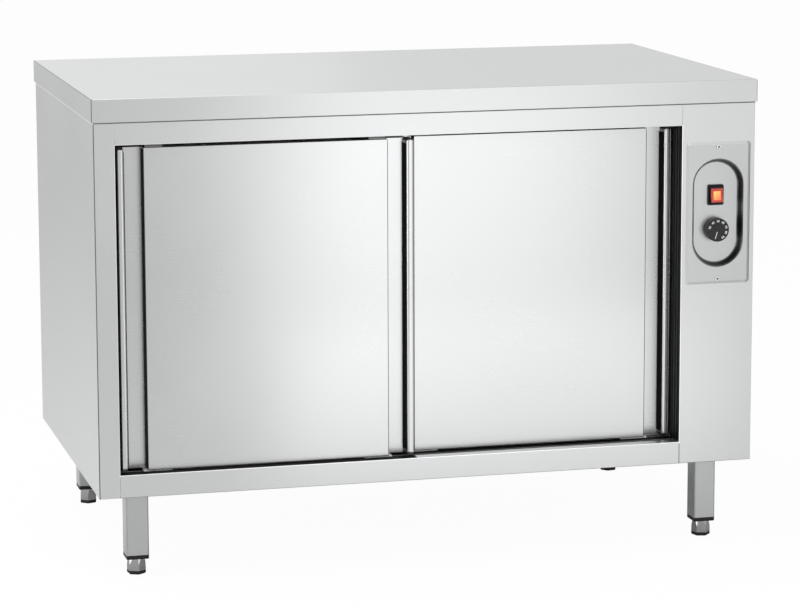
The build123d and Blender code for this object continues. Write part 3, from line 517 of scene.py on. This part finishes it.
def ribbed_strip(depth, height, ribs):
    """A strip that faces +X, its back on the origin's plane and its front edge at y = 0."""
    shape = bmesh.new()
    bmesh.ops.create_cube(shape, size=1.0)
    bmesh.ops.scale(shape, vec=(seal_thickness, depth, height), verts=shape.verts)
    bmesh.ops.translate(shape, vec=(seal_thickness / 2, depth / 2, 0), verts=shape.verts)
    for rib in ribs:
        for cut in (rib - rib_width / 2, rib + rib_width / 2):
            everything = [*shape.verts, *shape.edges, *shape.faces]
            bmesh.ops.bisect_plane(
                shape, geom=everything, plane_co=(0, cut, 0), plane_no=(0, 1, 0)
            )
    raised = []
    for face in shape.faces:
        centre = face.calc_center_median()
        if face.normal.x > 0.9 and min(abs(centre.y - rib) for rib in ribs) < rib_width / 2:
            raised.append(face)
    grown = bmesh.ops.extrude_discrete_faces(shape, faces=raised)["faces"]
    tops = [vert for face in grown for vert in face.verts]
    bmesh.ops.translate(shape, vec=(rib_height, 0, 0), verts=tops)
    return shape


left_edge, right_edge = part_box("left_side_panel")[1].x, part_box("control_fascia")[0].x
rail_top, rail_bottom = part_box("bottom_rail")[1].z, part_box("top_rail")[0].z
front_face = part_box("control_fascia")[0].y
seal_height = rail_bottom - rail_top - 2 * seal_end_gap
seal_depth = seal_back - seal_front
near_ribs = [place - seal_front for place in rib_places]
far_ribs = [seal_depth - rib for rib in near_ribs]
for name, edge, near, ribs, turn in (
    ("left", left_edge, front_face + seal_front, near_ribs, 0),
    ("right", right_edge, front_face + seal_front + seal_depth, far_ribs, pi),
):
    strip = ribbed_strip(seal_depth, seal_height, ribs)
    corner = Matrix.Translation((edge, near, (rail_top + rail_bottom) / 2))
    seal = bmesh.new()
    gather(seal, strip, corner @ Matrix.Rotation(turn, 4, "Z"))
    strip.free()
    finished(seal, f"{name}_jamb_seal", seal_rubber, "cabinet")

# ---- Sill strips ----
# Thin black strips along the sill in front of the doors and between the two grooves of the lower
# track paint the shade under the doors.

sill_lift, sill_end_gap = 0.00005, 0.001
rail_thickness, fold_thickness, track_thickness = 0.0012, 0.0005, 0.0003
sill = bmesh.new()
left_door_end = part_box("left_door_front_skin")[1].x
for near, far, end, bottom, thickness in (
    (0.0025, 0.0195, left_door_end, rail_top, fold_thickness),
    (0.0214, 0.0282, right_edge, rail_top - rail_thickness, track_thickness),
    (0.0358, 0.0562, right_edge, rail_top - rail_thickness, track_thickness),
):
    strip = slab(
        (left_edge + sill_end_gap, front_face + near, bottom + sill_lift),
        (end - sill_end_gap, front_face + far, bottom + sill_lift + thickness),
    )
    gather(sill, strip, Matrix.Identity(4))
    strip.free()
finished(sill, "sill_shade_strips", shadow_sheet, "cabinet")

# ---- Control plate ----
# A separate stainless plate with a bevelled rim and a deep-drawn stadium recess, held by two
# screws. Drawing and polishing leave it smoother than the panel around it.

plate_low, plate_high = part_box("control_plate")
plate_x, plate_z = (plate_low.x + plate_high.x) / 2, (plate_low.z + plate_high.z) / 2
plate_rim, plate_edge, recess_depth = 0.0068, 0.0012, 0.016
inner_x, inner_z = plate_high.x - plate_x - plate_rim, plate_high.z - plate_z - plate_rim
# Painted shade darkens the rounds of the recess's wall, most at mid-depth, and the rim's right
# side and its bevel.
plate_steel = ground_steel(
    "plate_steel", 0.47, 0.32, level_grain, 0.006,
    lambda across, deep, up: (
        (abs(across - plate_x) < inner_x) * (abs(up - plate_z) < inner_z)
        * (1.35 - abs((deep - plate_low.y) * (2 / recess_depth) - 1.1))
        + 0.25 * (across > plate_high.x - plate_rim) + 0.5 * (across > plate_high.x - plate_edge)
    ),
)
dress(plate_steel, "control_plate")

screw_low, screw_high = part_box("control_plate_screws")
head_radius = (screw_high.x - screw_low.x) / 2
head_height = plate_low.y - screw_low.y
# Painted shade darkens the rounds of each head and the part of the head nearest the plate.
shade_from = screw_low.y + head_height * 0.35
plate_screw_steel = polished_steel(
    "plate_screw_steel", 0.7, 0.25, 0.85, lambda across, deep, up: (deep > shade_from) * 0.9
)
head = screw_head(head_radius, head_height)
screws = bmesh.new()
for up, turn in ((screw_low.z + head_radius, 25), (screw_high.z - head_radius, 70)):
    place = Matrix.Translation((plate_x, plate_low.y, up)) @ Matrix.Rotation(pi / 2, 4, "X")
    gather(screws, head, place @ Matrix.Rotation(radians(turn), 4, "Z"))
head.free()
plate_screws = finished(
    screws, "control_plate_screw_heads", plate_screw_steel, "cabinet"
)
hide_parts("control_plate_screws")

# ---- Lighted rocker switch ----
# A black moulded frame snaps into the recess. The rocker is black with a clear red lens over its
# face, and a lamp glows behind the lens.

black_plastic = moulded_black("black_plastic", 0.009, 0.4)
dress(black_plastic, "switch_housing", "switch_rocker")

rocker_low, rocker_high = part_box("switch_rocker")
housing_low, housing_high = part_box("switch_housing")
lens_width, lens_thickness, lens_bottom, lens_top = 0.0225, 0.0025, -0.0135, 0.0125
lens_bend, lens_sunk, rocker_proud = 0.0011, 0.0002, 0.0045
window_sides, window_ends = (0.0072, 0.0058), (0.0085, 0.007)
lean = radians(16)
rocker_middle = housing_low.y - rocker_proud
rocker_x = (rocker_low.x + rocker_high.x) / 2
rocker_z = (housing_low.z + housing_high.z) / 2

lens = Finish("red_lens", roughness=0.16, coat_weight=0.5)
across, _, upward = lens.axes(lens.place)
across = across - rocker_x
upward = upward - (rocker_z + (lens_bottom + lens_top) / 2)
window = lens.ease(abs(across), *window_sides) * lens.ease(abs(upward), *window_ends)
heart = lens.ease(across * -0.6 + upward * 0.9, -0.008, 0.008) * window
ribs = lens.noise(700.0, 2.0)
lens.feed(
    base_color=lens.blend(window, (0.42, 0.035, 0.022), (0.75, 0.12, 0.03)),
    emission_color=lens.blend(
        heart, lens.blend(window, (0.10, 0.008, 0.004), (0.85, 0.13, 0.05)), (1.0, 0.62, 0.16)
    ),
    normal=lens.bump(ribs, 0.2, 0.0002),
    emission_strength=0.9,
)


def rocker_lens():
    """A clear block over the rocker's face, bent where the rocker's two halves meet."""
    shape = bmesh.new()
    bmesh.ops.create_cube(shape, size=1.0)
    size = (lens_width, lens_thickness, lens_top - lens_bottom)
    bmesh.ops.scale(shape, vec=size, verts=shape.verts)
    middle = (0, -lens_thickness / 2, (lens_top + lens_bottom) / 2)
    bmesh.ops.translate(shape, vec=middle, verts=shape.verts)
    everything = [*shape.verts, *shape.edges, *shape.faces]
    bmesh.ops.bisect_plane(shape, geom=everything, plane_co=(0, 0, 0), plane_no=(0, 0, 1))
    lower = [vert for vert in shape.verts if vert.co.z < -0.0001]
    bmesh.ops.rotate(shape, cent=(0, 0, 0), matrix=Matrix.Rotation(-lean, 3, "X"), verts=lower)
    front = [
        edge for edge in shape.edges
        if len(edge.link_faces) == 2 and edge.calc_face_angle() > radians(60)
    ]
    bmesh.ops.bevel(
        shape, geom=front, offset=lens_bend, segments=4, profile=0.5, affect="EDGES", material=-1
    )
    place = (rocker_x, rocker_middle + lens_sunk, rocker_z)
    bmesh.ops.translate(shape, vec=place, verts=shape.verts)
    return shape


finished(rocker_lens(), "switch_lens", lens.material, "switch_rocker")

# ---- Thermostat ----
# The black knob carries its own scale, printed in white: plain numbers every ten degrees and a
# zero line. The body behind it is moulded, and its bulb and capillary are copper.

knob_plastic = moulded_black("knob_plastic", 0.018, 0.42)
dress(knob_plastic, "thermostat_knob")
knob_low, knob_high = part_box("thermostat_knob")
knob_x, knob_z = (knob_low.x + knob_high.x) / 2, (knob_low.z + knob_high.z) / 2
print_lift, print_thickness = 0.00002, 0.00008
number_radius, number_height, type_size, stroke_growth = 0.0160, 0.0039, 1.4, 0.018
number_angles = {"30": 162, "40": 126, "50": 90, "60": 54, "70": 18, "80": -18, "90": -54}
zero_angle, zero_from, zero_to, zero_width = -108, 0.0035, 0.0168, 0.0011

ink = Finish("white_ink", roughness=0.5)
coverage = ink.noise(900.0, 2.0)
ink.feed(base_color=ink.blend(coverage, (0.72, 0.72, 0.7), (0.92, 0.92, 0.9)))


def lettering(text, height):
    """Printed characters as a thin solid that faces +Z, centred on the origin."""
    curve = bpy.data.curves.new("lettering", "FONT")
    curve.body, curve.size, curve.extrude = text, height * type_size, print_thickness / 2
    curve.align_x, curve.align_y = "CENTER", "CENTER"
    curve.offset = height * stroke_growth
    holder = bpy.data.objects.new("lettering", curve)
    mesh = bpy.data.meshes.new_from_object(holder)
    bpy.data.objects.remove(holder)
    bpy.data.curves.remove(curve)
    return mesh


scale = bmesh.new()
to_front = Matrix.Rotation(pi / 2, 4, "X")
knob_middle = Matrix.Translation((knob_x, knob_low.y - print_lift, knob_z))
for text, angle in number_angles.items():
    mesh = lettering(text, number_height)
    turn = Matrix.Rotation(radians(90 - angle), 4, "Y")
    centre = Vector((cos(radians(angle)), 0, sin(radians(angle)))) * number_radius
    mesh.transform(knob_middle @ Matrix.Translation(centre) @ turn @ to_front)
    scale.from_mesh(mesh)
    bpy.data.meshes.remove(mesh)
line = rounded_plate(zero_width, print_thickness, zero_to - zero_from, zero_width * 0.3)
turn = Matrix.Rotation(radians(90 - zero_angle), 4, "Y")
reach = Matrix.Translation((0, 0, (zero_from + zero_to) / 2))
gather(scale, line, knob_middle @ turn @ reach)
line.free()
finished(scale, "knob_scale", ink.material, "thermostat_knob")

phenolic = Finish("brown_plastic", roughness=0.55)
fleck = phenolic.noise(400.0, 4.0)
phenolic.feed(base_color=phenolic.blend(fleck, (0.12, 0.06, 0.03), (0.24, 0.14, 0.08)))
dress(phenolic.material, "thermostat_body", "terminal_block")

copper = Finish("copper_brass", metallic=1.0)
tarnish = copper.noise(120.0, 4.0)
copper.feed(
    base_color=copper.blend(tarnish, (0.55, 0.27, 0.16), (0.86, 0.52, 0.35)),
    roughness=0.22 + tarnish * 0.25,
)
dress(copper.material, "thermostat_sensor")

# ---- Fan heater and its wiring ----
# A tubular element, blued by heat, rings a pressed aluminium fan wheel. The motor is enamelled,
# and the gland under the base is moulded for a cable of its own.

heater_steel = Finish("heater_steel", metallic=1.0)
scale_marks = heater_steel.noise(60.0, 5.0)
heater_steel.feed(
    base_color=heater_steel.blend(scale_marks, (0.12, 0.10, 0.11), (0.42, 0.36, 0.32)),
    roughness=0.4 + scale_marks * 0.2,
)
dress(heater_steel.material, "heating_element")
dress(mill_steel("aluminium_parts", 0.72, 0.32), "fan_impeller")
enamel = Finish("motor_paint", coat_weight=0.3)
peel = enamel.noise(500.0, 3.0)
enamel.feed(
    base_color=enamel.grey(0.05 + peel * 0.03, (1.0, 1.0, 1.08)),
    roughness=0.35 + peel * 0.15,
    normal=enamel.bump(peel, 0.2, 0.0004),
)
dress(enamel.material, "fan_motor")
dress(black_plastic, "cable_gland")

# ---- Legs and feet ----
# Square stainless tube, with a black plastic plug in its end. The hexagonal steel foot screws in
# and out of the plug, and stands on a black rubber sole.

# Painted shade darkens the rounds of the legs' corners.
leg_steel = ground_steel(
    "leg_steel", 0.42, 0.36, (2400, 2400, 12), 0.015, lambda across, deep, up: 0.3
)
foot_steel = polished_steel("foot_steel", 0.32, 0.2)
dress(black_plastic, "leg_plugs")
for end in ("front", "back"):
    for side in ("left", "right"):
        corner = f"{end}_{side}"
        dress(leg_steel, f"{corner}_leg")
        dress(foot_steel, f"{corner}_foot")
        dress(rubber, f"{corner}_sole")

# ---- Studio ----
# A white surround, large soft lamps and a plain pale floor, which shows white to the camera and
# glows in mirrored rays only beside the cabinet, not under it.

lookout_place, yaw, pitch, roll = (-1.4151, -5.6082, 1.4403), 0.2521, 0.1612, -0.0031
camera = bpy.data.cameras.new("camera")
camera.sensor_width = 36
camera.lens = 141.62
camera.shift_y = -0.0625
camera.clip_end = 100
lookout = bpy.data.objects.new("camera", camera)
lookout.matrix_world = (
    Matrix.Translation(lookout_place) @ Matrix.Rotation(-yaw, 4, "Z")
    @ Matrix.Rotation(pi / 2 - pitch, 4, "X") @ Matrix.Rotation(roll, 4, "Z")
)
bpy.context.scene.collection.objects.link(lookout)
bpy.context.scene.camera = lookout
bpy.context.scene.view_settings.view_transform = "Standard"


def rays(tree, seen, mirrored):
    """One share for rays from the camera, another from mirrors and glass, and 0 for the rest."""
    path = tree.nodes.new("ShaderNodeLightPath")
    level = 0.0
    for name, share in (
        ("Is Camera Ray", seen), ("Is Glossy Ray", mirrored), ("Is Transmission Ray", mirrored)
    ):
        either = tree.nodes.new("ShaderNodeMath")
        either.operation = "MULTIPLY_ADD"
        tree.links.new(path.outputs[name], either.inputs[0])
        if isinstance(share, Channel):
            tree.links.new(share.socket, either.inputs[1])
        else:
            either.inputs[1].default_value = share
        if level:
            tree.links.new(level, either.inputs[2])
        else:
            either.inputs[2].default_value = 0.0
        level = either.outputs[0]
    return level


unseen_sky = 0.66
world = bpy.data.worlds.new("studio")
bpy.context.scene.world = world
world.use_nodes = True
tree = world.node_tree
sky = tree.nodes["Background"]
sky.inputs["Color"].default_value = (1, 1, 1, 1)
strength = tree.nodes.new("ShaderNodeMapRange")
tree.links.new(rays(tree, 1.0, 1.0), strength.inputs["Value"])
strength.inputs["To Min"].default_value = unseen_sky
strength.inputs["To Max"].default_value = 1.0
tree.links.new(strength.outputs[0], sky.inputs["Strength"])

floor_seen, floor_mirrored, floor_radius = 0.96, 0.3, 14
glow_from, glow_whole = 0.9, 1.2
floor_shape = bmesh.new()
bmesh.ops.create_circle(floor_shape, cap_ends=True, segments=64, radius=floor_radius)
bmesh.ops.recalc_face_normals(floor_shape, faces=floor_shape.faces)
floor_mesh = bpy.data.meshes.new("floor")
floor_shape.to_mesh(floor_mesh)
floor_shape.free()
floor = bpy.data.objects.new("floor", floor_mesh)
bpy.context.scene.collection.objects.link(floor)
floor_paint = Finish("floor_paint")
across, deep, _ = (abs(part) for part in floor_paint.axes(floor_paint.place))
away = floor_paint.maths("MAXIMUM", across / cad_box[1][0], deep / cad_box[1][1])
beside = floor_paint.ease(away, glow_from, glow_whole)
tree = floor_paint.tree
tree.nodes.remove(floor_paint.shader)
matt = tree.nodes.new("ShaderNodeBsdfDiffuse")
matt.inputs["Color"].default_value = (0.85, 0.85, 0.85, 1)
glow = tree.nodes.new("ShaderNodeEmission")
mixed = tree.nodes.new("ShaderNodeMixShader")
tree.links.new(rays(tree, floor_seen, beside * floor_mirrored), mixed.inputs[0])
tree.links.new(matt.outputs[0], mixed.inputs[1])
tree.links.new(glow.outputs[0], mixed.inputs[2])
surface = tree.nodes["Material Output"]
tree.links.new(mixed.outputs[0], surface.inputs["Surface"])
floor_mesh.materials.append(floor_paint.material)


def lamp(name, level, size, place, target):
    """A soft lamp of so many times the background's brightness, which points at its target."""
    light = bpy.data.lights.new(name, "AREA")
    light.shape = "RECTANGLE"
    light.size, light.size_y = size
    light.energy = level * pi * light.size * light.size_y
    holder = bpy.data.objects.new(name, light)
    aim = (Vector(place) - Vector(target)).to_track_quat("Z", "Y")
    holder.matrix_world = Matrix.Translation(place) @ aim.to_matrix().to_4x4()
    holder.visible_camera = False
    bpy.context.scene.collection.objects.link(holder)


lamp("front_screen", 1.2, (0.9, 1.2), (0.62, -2.4, 0.62), (0.62, 0, 0.62))
lamp("far_screen", 0.7, (0.5, 1.2), (1.7, -2.4, 0.62), (1.7, 0, 0.62))
lamp("near_screen", 0.22, (0.35, 0.9), (0.05, -1.3, 0.47), (0.05, 0, 0.47))
lamp("low_screen", 0.44, (0.9, 0.3), (0.3, -0.9, 0.17), (0.3, 0, 0.17))
lamp("high_screen", 1.1, (1.0, 1.2), (0.77, -2.4, 2.0), (0.77, 0, 0.5))
lamp("overhead", 1.75, (2.6, 3), (-1.1, 0, 3.3), (-0.6, 0, 0.8))
lamp("left_screen", 2.8, (2.4, 1.8), (-2.6, -0.5, 0.8), (-0.5, 0, 0.4))
lamp("back_screen", 0.16, (3.2, 2.0), (-0.8, 3.4, 1.5), (-0.4, 0, 0.845))
lamp("right_screen", 0.3, (2, 2), (3, -1, 1.2), (0, 0, 0.5))
